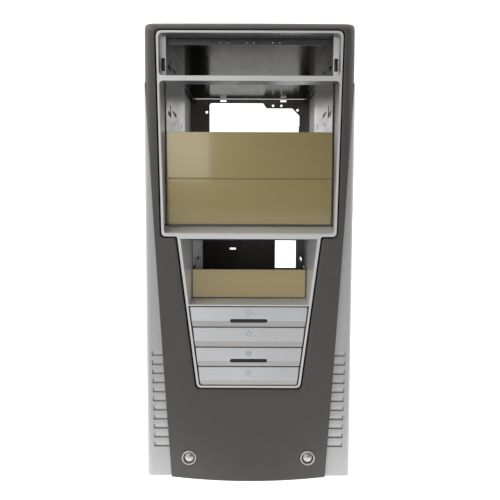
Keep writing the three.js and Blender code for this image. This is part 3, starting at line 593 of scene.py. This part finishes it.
def rounded_loop(corners, step=2.5, arc_steps=8):
    """A closed loop through [x, z, radius] corners, with its straights cut into steps."""
    points = []
    count = len(corners)
    tangents = []
    for i, (x, z, radius) in enumerate(corners):
        here = Vector((x, z))
        back = (Vector(corners[i - 1][:2]) - here).normalized() * radius
        on = (Vector(corners[(i + 1) % count][:2]) - here).normalized() * radius
        tangents.append((here + back, here, here + on))
    for i, (start, here, end) in enumerate(tangents):
        for k in range(arc_steps + 1):
            t = k / arc_steps
            points.append(start * (1 - t) ** 2 + here * 2 * t * (1 - t) + end * t * t)
        follow = tangents[(i + 1) % count][0]
        gaps = max(int((follow - end).length / step), 1)
        points += [end.lerp(follow, k / gaps) for k in range(1, gaps)]
    return np.array(points)


def mirrored(corners):
    return corners + [(-x, z, r) for x, z, r in reversed(corners)]


def trim_loop(grow):
    """The bay trim's outline, grown all round, anticlockwise from its foot."""
    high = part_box("bay_trim")[1] / MM
    corners = [(x + grow, z - grow, r) for x, z, r in TRIM_CORNERS]
    corners.append((high.x + grow, high.z + grow, 5.0 + grow))
    return rounded_loop(mirrored(corners))


def shield_loop():
    """The shield's outer edge: two bowed sides, then the whole width above the wings."""
    rise = np.linspace(0, 1, 120)
    foot, bow, top = SHIELD_FOOT_HALF, SHIELD_BOW, SHIELD_TOP_HALF
    x = (1 - rise) ** 2 * foot + 2 * rise * (1 - rise) * bow[0] + rise**2 * top
    z = (1 - rise) ** 2 * BOTTOM + 2 * rise * (1 - rise) * bow[1] + rise**2 * WING_TOP
    side = list(zip(x, z))
    upper = [(WRAP_HALF, z) for z in np.linspace(WING_TOP + 0.01, TOP, 24)]
    right = side + upper
    across_top = [(x, TOP) for x in np.linspace(WRAP_HALF, -WRAP_HALF, 80)[1:-1]]
    left = [(-x, z) for x, z in reversed(right)]
    across_foot = [(x, BOTTOM) for x in np.linspace(-foot, foot, 60)[1:-1]]
    return np.array(right + across_top + left + across_foot)


def by_angle(loop, origin):
    """The loop's points sorted by their angle round the origin."""
    angle = np.arctan2(loop[:, 1] - origin[1], loop[:, 0] - origin[0])
    order = np.argsort(angle, kind="stable")
    return angle[order], loop[order]


def at_angles(angles, loop_angles, loop):
    wrapped = np.concatenate([loop_angles[-1:] - 2 * np.pi, loop_angles, loop_angles[:1] + 2 * np.pi])
    closed = np.concatenate([loop[-1:], loop, loop[:1]])
    return np.stack([np.interp(angles, wrapped, closed[:, k]) for k in (0, 1)], axis=1)


# Where the skin's rows lie, in millimetres from the opening's edge and from the outer edge.
INNER_STEPS = np.array([0, 0.06, 0.22, 0.45, 0.8])
OUTER_STEPS = np.array([9.4, 7.4, 5.6, 4.0, 2.7, 1.6, 0.8, 0.42, 0.16, 0.04, 0])
EDGE_ROUND = 0.8


def front_shield():
    """One smooth skin lofted from the bay opening's edge to the shield's own edge."""
    eye = (0.0, WING_TOP + 0.005)
    inner_angles, inner_loop = by_angle(trim_loop(TRIM_GAP), eye)
    outer_angles, outer_loop = by_angle(shield_loop(), eye)
    angles = np.unique(np.round(np.concatenate([inner_angles, outer_angles]), 5))
    inner = at_angles(angles, inner_angles, inner_loop)
    outer = at_angles(angles, outer_angles, outer_loop)
    width = np.linalg.norm(outer - inner, axis=1)
    shrink = np.minimum(1, width / (OUTER_STEPS[0] + INNER_STEPS[-1] + 1.0))
    columns = []
    for start, end, w, k in zip(inner, outer, width, shrink):
        first = INNER_STEPS * k / w
        last = 1 - OUTER_STEPS * k / w
        middle = np.linspace(first[-1], last[0], 9)[1:-1]
        t = np.concatenate([first, middle, last])
        xz = start + (end - start) * t[:, None]
        y = shield_y(xz[:, 0], xz[:, 1])
        near_in = np.clip(EDGE_ROUND * k - t * w, 0, EDGE_ROUND)
        y = y + EDGE_ROUND - np.sqrt(EDGE_ROUND**2 - near_in**2)
        wraps = end[1] > WING_TOP
        if not wraps:
            near_out = np.clip(EDGE_ROUND * k - (1 - t) * w, 0, EDGE_ROUND)
            y = y + EDGE_ROUND - np.sqrt(EDGE_ROUND**2 - near_out**2)
        rows = [(x, yy, z) for (x, z), yy in zip(xz, y)]
        foot_in = (*start, shield_y(*start) + SHIELD_WALL)
        back = BEZEL_BACK - 0.2 if wraps else shield_y(*end) + SHIELD_WALL
        back = max(back, rows[-1][1] + 0.4)
        wall = [rows[-1][1] + (back - rows[-1][1]) * s for s in (0.33, 0.66, 1.0)]
        column = [(foot_in[0], foot_in[2], foot_in[1])] + rows
        column += [(end[0], yy, end[1]) for yy in wall]
        columns.append(column)
    bm = bmesh.new()
    grid = [[bm.verts.new(Vector(p) * MM) for p in column] for column in columns]
    for a, b in zip(grid, grid[1:] + grid[:1]):
        for k in range(len(a) - 1):
            bm.faces.new((a[k], a[k + 1], b[k + 1], b[k]))
    bmesh.ops.recalc_face_normals(bm, faces=bm.faces)
    outward = sum((f.normal.y * f.calc_area() for f in bm.faces), 0.0)
    if outward > 0:
        bmesh.ops.reverse_faces(bm, faces=bm.faces)
    shield = new_object("front_shield_skin", bm, GRAPHITE)
    modify(shield, "SOLIDIFY", thickness=1.6 * MM, offset=-1.0, use_even_offset=False)
    bores = [stud_bore(side) for side in SIDES]
    for bore in bores:
        modify(shield, "BOOLEAN", operation="DIFFERENCE", solver="EXACT", object=bore)
    settle(shield)
    remove(*bores)
    for face in shield.data.polygons:
        face.use_smooth = True
    mark_sharp(shield, 40)
    return stand_for(shield, "front_shield", slot="graphite_plastic")


def mark_sharp(obj, angle):
    bm = bmesh.new()
    bm.from_mesh(obj.data)
    for edge in bm.edges:
        edge.smooth = not edge.is_manifold or edge.calc_face_angle(0) < math.radians(angle)
    bm.to_mesh(obj.data)
    bm.free()


def stud_bore(side):
    at = centre(side + "_stud_ring")
    radius = (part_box(side + "_stud_ring")[1].x - at.x) / MM + 0.4
    start = Vector((at.x, (TRIM_FRONT - 30) * MM, at.z))
    profile = [(0, 0), (radius, 0), (radius, 60), (0, 60)]
    return lathe(side + "_bore", profile, BLACK, (0, 1, 0), start, 48)


# ---------------------------------------------------------------- studs


def studs():
    for side in SIDES:
        low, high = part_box(side + "_stud_ring")
        at = (low + high) / 2
        outer = (high.x - at.x) / MM
        inner = outer - 1.4
        depth = (high.y - low.y) / MM
        ring = [(inner, 0), (outer, 0), (outer, depth - 1.0)]
        ring += arc(outer - 0.7, depth - 0.7, 0.7, 0, 180, 12)
        ring += [(inner, depth - 1.0), (inner, 0)]
        back = Vector((at.x, high.y, at.z))
        piece = lathe(side + "_stud_ring_turned", ring, SILVER, (0, -1, 0), back)
        mark_sharp(piece, 40)
        stand_for(piece, side + "_stud_ring", slot="silver_plastic")

        low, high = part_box(side + "_stud")
        radius = (high.x - at.x) / MM
        length = (high.y - low.y) / MM
        crown = 2.0
        dome = (radius**2 + crown**2) / (2 * crown)
        sweep = math.degrees(math.asin(radius / dome))
        head = [(0, 0), (1.9, 0), (1.9, length - 4.1), (radius, length - 4.1), (radius, length - crown)]
        head += arc(0, length - dome, dome, 90 - sweep, 90, 12)[1:-1] + [(0, length)]
        back = Vector((at.x, high.y, at.z))
        piece = lathe(side + "_stud_turned", head, CHROME, (0, -1, 0), back)
        mark_sharp(piece, 40)
        stand_for(piece, side + "_stud", slot="chrome_trim")


# ---------------------------------------------------------------- icons on the bars


def stroke(bm, points, width, height, closed=False):
    """A raised line through points (x, z) on a flat face, as a low rounded bar."""
    points = [Vector(p) for p in points]
    count = len(points)
    rows = []
    for i, p in enumerate(points):
        before = points[i - 1] if i or closed else p
        after = points[(i + 1) % count] if i < count - 1 or closed else p
        along = (after - before).normalized()
        across = Vector((-along.y, along.x)) * width / 2
        section = [(-1, 0), (-0.8, 0.8), (0, 1), (0.8, 0.8), (1, 0)]
        rows.append([bm.verts.new((*(p + across * a), h * height)) for a, h in section])
    pairs = list(zip(rows, rows[1:]))
    if closed:
        pairs.append((rows[-1], rows[0]))
    for a, b in pairs:
        for k in range(len(a) - 1):
            bm.faces.new((a[k], a[k + 1], b[k + 1], b[k]))
        bm.faces.new((a[-1], a[0], b[0], b[-1]))
    if not closed:
        bm.faces.new(rows[0])
        bm.faces.new(list(reversed(rows[-1])))


LINE = 0.4  # width of the symbols' lines, mm
BOLD = 0.5
RELIEF = 0.12  # how far they stand up


def power_symbol(bm):
    stroke(bm, arc(0, 0, 2.2, 125, 415, 24), BOLD, RELIEF)
    stroke(bm, [(0, 0.3), (0, 3.2)], BOLD, RELIEF)


def bulb_symbol(bm):
    glass = arc(0, 0.9, 1.7, 220, -40, 24)
    stroke(bm, [(-0.7, -1.6), (-0.8, -0.7)] + glass + [(0.8, -0.7), (0.7, -1.6)], LINE, RELIEF)
    stroke(bm, [(-0.7, -2.1), (0.7, -2.1)], LINE, RELIEF)


def disk_symbol(bm):
    half, tilt, top, foot = 1.9, 0.7, 1.3, -1.1
    around = np.linspace(0, 2 * math.pi, 25)[:-1]
    stroke(bm, [(half * math.cos(t), top + tilt * math.sin(t)) for t in around], LINE, RELIEF, closed=True)
    front = np.linspace(math.pi, 2 * math.pi, 13)
    for level in (0.1, foot):
        stroke(bm, [(half * math.cos(t), level + tilt * math.sin(t)) for t in front], LINE, RELIEF)
    for x in (-half, half):
        stroke(bm, [(x, top), (x, foot)], LINE, RELIEF)


def reset_symbol(bm):
    stroke(bm, [(-1.8, -1.8), (-1.8, 1.8), (1.8, 1.8), (1.8, -1.8), (-1.8, -1.8)], LINE, RELIEF)
    stroke(bm, [(-0.8, 0.4), (0, 1.0), (0.8, 0.4)], LINE, RELIEF)
    stroke(bm, [(0, 0.9), (0, -1.0)], LINE, RELIEF)


def icon(node, name, draw):
    """A symbol on the upper slope of a bar, tilted to lie on it."""
    low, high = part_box(node)
    crease = high.z - BAR_SLOPE_SHARE * (high.z - low.z)
    top = Vector((0, (TRIM_FRONT + BAR_FACE[0]) * MM, high.z))
    foot = Vector((0, (TRIM_FRONT + BAR_FACE[1]) * MM, crease))
    up = (top - foot).normalized()
    out = Vector((1, 0, 0)).cross(up).normalized()
    middle = foot.lerp(top, 0.56)
    bm = bmesh.new()
    draw(bm)
    bmesh.ops.recalc_face_normals(bm, faces=bm.faces)
    axes = Matrix((Vector((1, 0, 0)), up, out)).transposed().to_4x4()
    placed = Matrix.Translation(middle - out * 0.00002) @ axes @ Matrix.Scale(MM, 4)
    bmesh.ops.transform(bm, matrix=placed, verts=bm.verts)
    piece = new_object(name, bm, INK)
    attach(piece, NODES[node]["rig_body"])


def bars():
    for node in ("power_light_bar", "power_button", "drive_light_bar", "reset_button"):
        bar = refined(node, BAR, "bar_silver", bevel=0.3, segments=3, angle=8)
        # the downward-facing lower slope takes painted shade
        paint(bar, BAR_LOWER_SHADE, lambda f: f.normal.y < -0.5 and f.normal.z < -0.05)
    icon("power_light_bar", "bulb_icon", bulb_symbol)
    icon("power_button", "power_icon", power_symbol)
    icon("drive_light_bar", "disk_icon", disk_symbol)
    icon("reset_button", "reset_icon", reset_symbol)
    for node in ("power_light_lens", "drive_light_lens"):
        refined(node, SMOKED, "smoked_lens", bevel=0.25, segments=3, angle=40)


# ---------------------------------------------------------------- switches and lights


def controls():
    for name in ("power", "reset"):
        refined(name + "_switch", BLACK, "black_plastic", bevel=0.25)
        refined(name + "_switch_plunger", BLACK, "black_plastic", bevel=0.2, angle=50)
    refined("control_bracket", BLACK, "black_plastic", bevel=0.3)
    for side in SIDES:
        refined(side + "_bracket_screw", SCREW, "screw_steel", bevel=0.2, angle=50)
    for name in ("power_led", "drive_led"):
        low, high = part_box(name)
        at = (low + high) / 2
        profile = [(0, 0), (2.9, 0), (2.9, 1), (2.5, 1), (2.5, 3.6)]
        profile += arc(0, 3.6, 2.5, 0, 90, 12)[1:-1] + [(0, 6.1)]
        back = Vector((at.x, high.y, at.z))
        piece = lathe(name + "_resin", profile, RESIN, (0, -1, 0), back)
        mark_sharp(piece, 50)
        stand_for(piece, name, slot="led_lens")


# ---------------------------------------------------------------- feet, screws, speaker


def feet():
    for side in SIDES:
        for end in ("front", "rear"):
            node = f"{side}_{end}_foot"
            low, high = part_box(node)
            at = (low + high) / 2
            radius = (high.x - at.x) / MM
            height = (high.z - low.z) / MM
            profile = [(0, 1.6), (4.2, 1.6), (4.8, 0.2), (5.4, 0), (radius - 3.6, 0)]
            profile += arc(radius - 3.6, 2.6, 2.6, -90, 0, 8)
            profile += [(radius, height - 0.6), (radius - 0.4, height), (0, height)]
            piece = lathe(node + "_moulded", profile, RUBBER, (0, 0, 1), Vector((at.x, at.y, low.z)))
            mark_sharp(piece, 40)
            stand_for(piece, node, slot="rubber")


def cross_recess(name, at, axis, size=3.4, depth=1.3):
    """A cutter for a cross-head recess, tapering inwards from the head's face."""
    bm = bmesh.new()
    for turn in (0, math.pi / 2):
        made = bmesh.ops.create_cube(bm, size=1.0)
        for v in made["verts"]:
            inward = v.co.z < 0
            v.co.x *= size * (0.45 if inward else 1.0)
            v.co.y *= size * 0.24 * (0.8 if inward else 1.0)
            v.co.z = -depth if inward else 0.6
        bmesh.ops.rotate(bm, verts=made["verts"], matrix=Matrix.Rotation(turn, 3, "Z"))
    face = Vector((0, 0, 1)).rotation_difference(Vector(axis)).to_matrix().to_4x4()
    placed = Matrix.Translation(at) @ face @ Matrix.Scale(MM, 4)
    bmesh.ops.transform(bm, matrix=placed, verts=bm.verts)
    return new_object(name, bm, BLACK)


def screws():
    for side in SIDES:
        for level in ("lower", "upper"):
            node = f"{side}_{level}_thumbscrew"
            low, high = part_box(node)
            at = Vector(((low.x + high.x) / 2, high.y, (low.z + high.z) / 2))
            cutter = cross_recess(node + "_recess", at, (0, 1, 0), 4.6, 1.6)
            refined(node, SCREW, "screw_steel", bevel=0.3, angle=50, cutters=[cutter])
            remove(cutter)
    for i in range(1, 7):
        node = f"slot_screw_{i}"
        low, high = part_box(node)
        at = Vector((low.x, (low.y + high.y) / 2, (low.z + high.z) / 2))
        cutter = cross_recess(node + "_recess", at, (-1, 0, 0))
        refined(node, SCREW, "screw_steel", bevel=0.25, angle=50, cutters=[cutter])
        remove(cutter)


def speaker():
    low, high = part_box("case_speaker")
    at = (low + high) / 2
    radius = (high.x - at.x) / MM
    depth = (high.y - low.y) / MM
    cone = [(0, depth - 5.0), (4, depth - 5.5), (radius - 4, depth - 1.8)]
    surround = arc(radius - 3.2, depth - 1.6, 1.0, 180, 0, 8)
    body = [(radius - 1.6, depth - 1.6), (radius, depth), (radius, depth - 2)]
    body += [(radius - 2, depth - 6), (radius - 6, 0), (0, 0)]
    back = Vector((at.x, low.y, at.z))
    piece = lathe("case_speaker_cone", cone + surround + body, BLACK, (0, 1, 0), back)
    mark_sharp(piece, 40)
    stand_for(piece, "case_speaker", slot="black_plastic")


# ---------------------------------------------------------------- shells and sheets


def shells():
    refined("bezel_base", SILVER, "silver_plastic", bevel=0.5, segments=3, angle=28)
    trim = refined("bay_trim", TRIM_SILVER, "silver_plastic", bevel=0.45, segments=3, angle=28)
    flange = TRIM_FRONT + MOUTH_DEPTH
    paint(trim, TRIM_BRIGHT, lambda f: f.normal.y < -0.9 and abs(f.center.y / MM - flange) < 0.5)
    # the downward-facing soffits take painted shade
    paint(trim, TRIM_SOFFIT_SHADE, lambda f: f.normal.z < -0.7 and f.center.z / MM > SOFFIT_Z)
    # the mouths' side walls take painted shade
    paint(trim, TRIM_WALL_SHADE, lambda f: abs(f.normal.x) > 0.7 and f.center.z / MM > SOFFIT_Z)
    for side in SIDES:
        refined(side + "_side_panel", PANEL, "panel_paint", bevel=0.4, segments=3)


def sheets():
    steel = ["front_frame", "top_panel", "base_panel", "rear_panel", "mainboard_tray", "bay_shelf"]
    steel += ["left_cage_wall", "right_cage_wall", "small_drive_cage"]
    steel += [f"slot_cover_{i}" for i in range(1, 7)]
    finish = {"top_panel": SMOOTH_SHADE_STEEL, "front_frame": DARK_SHADE_STEEL, "small_drive_cage": DARK_SHADE_STEEL}
    finish.update(left_cage_wall=CAGE_STEEL, right_cage_wall=CAGE_STEEL)
    for node in steel:
        sheet = refined(node, finish.get(node, STEEL), "zinc_steel", bevel=0.2, angle=50)
        if node == "top_panel":
            # the upward faces keep the plain steel; the underside's darker colour is painted shade
            paint(sheet, STEEL, lambda f: f.normal.z > 0.5)
        if node == "front_frame":
            boss_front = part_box(node)[0].y
            paint(sheet, STEEL, lambda f: f.center.y < boss_front + 0.3 * MM)  # the bosses' front faces keep the plain steel; the rest of the frame's near-black is painted shade
    for node in ("upper_bay_blank", "lower_bay_blank", "small_bay_blank"):
        refined(node, BLANK, "blank_steel", bevel=0.3, segments=3)


# ---------------------------------------------------------------- floor and light


def studio():
    bm = bmesh.new()
    bmesh.ops.create_grid(bm, x_segments=8, y_segments=8, size=8.0)
    floor = new_object("floor", bm, floor_paint())
    floor.location.z = -0.0005
    sky()
    lamp("key", place=(-0.95, -0.9, 1.55), watts=4.5, size=0.7)
    lamp("window", place=(-0.3, -1.75, 0.47), watts=0.55, size=0.34)


def sky():
    """A white backdrop behind the case; in front a dim room, lighter on the left."""
    world = bpy.data.worlds.new("studio")
    bpy.context.scene.world = world
    world.use_nodes = True
    tree = world.node_tree
    place = tree.nodes.new("ShaderNodeTexCoord").outputs["Generated"]
    parts = tree.nodes.new("ShaderNodeSeparateXYZ")
    tree.links.new(place, parts.inputs["Vector"])
    room = tree.nodes.new("ShaderNodeMapRange")
    backdrop = tree.nodes.new("ShaderNodeMapRange")
    for node, axis, (start, end), (low, high) in (
        (room, "X", (-0.35, 0.35), (0.64, 0.12)),
        (backdrop, "Y", (-0.5, -0.15), (0.0, 1.0)),
    ):
        node.interpolation_type = "SMOOTHSTEP"
        node.inputs["From Min"].default_value = start
        node.inputs["From Max"].default_value = end
        node.inputs["To Min"].default_value = low
        node.inputs["To Max"].default_value = high
        tree.links.new(parts.outputs[axis], node.inputs["Value"])
    both = tree.nodes.new("ShaderNodeMath")
    both.operation = "ADD"
    tree.links.new(room.outputs["Result"], both.inputs[0])
    tree.links.new(backdrop.outputs["Result"], both.inputs[1])
    tree.links.new(both.outputs["Value"], tree.nodes["Background"].inputs["Strength"])
    tree.nodes["Background"].inputs["Color"].default_value = (1, 1, 1, 1)


def lamp(name, place, watts, size):
    data = bpy.data.lights.new(name, "AREA")
    data.energy = watts
    data.size = size
    light = bpy.data.objects.new(name, data)
    light.location = place
    aim = Vector((0, 0, 0.2)) - Vector(place)
    light.rotation_euler = aim.to_track_quat("-Z", "Y").to_euler()
    bpy.context.scene.collection.objects.link(light)


make_camera()
front_shield()
shells()
bars()
studs()
controls()
sheets()
feet()
screws()
speaker()
studio()
bpy.context.scene.view_settings.view_transform = "Standard"
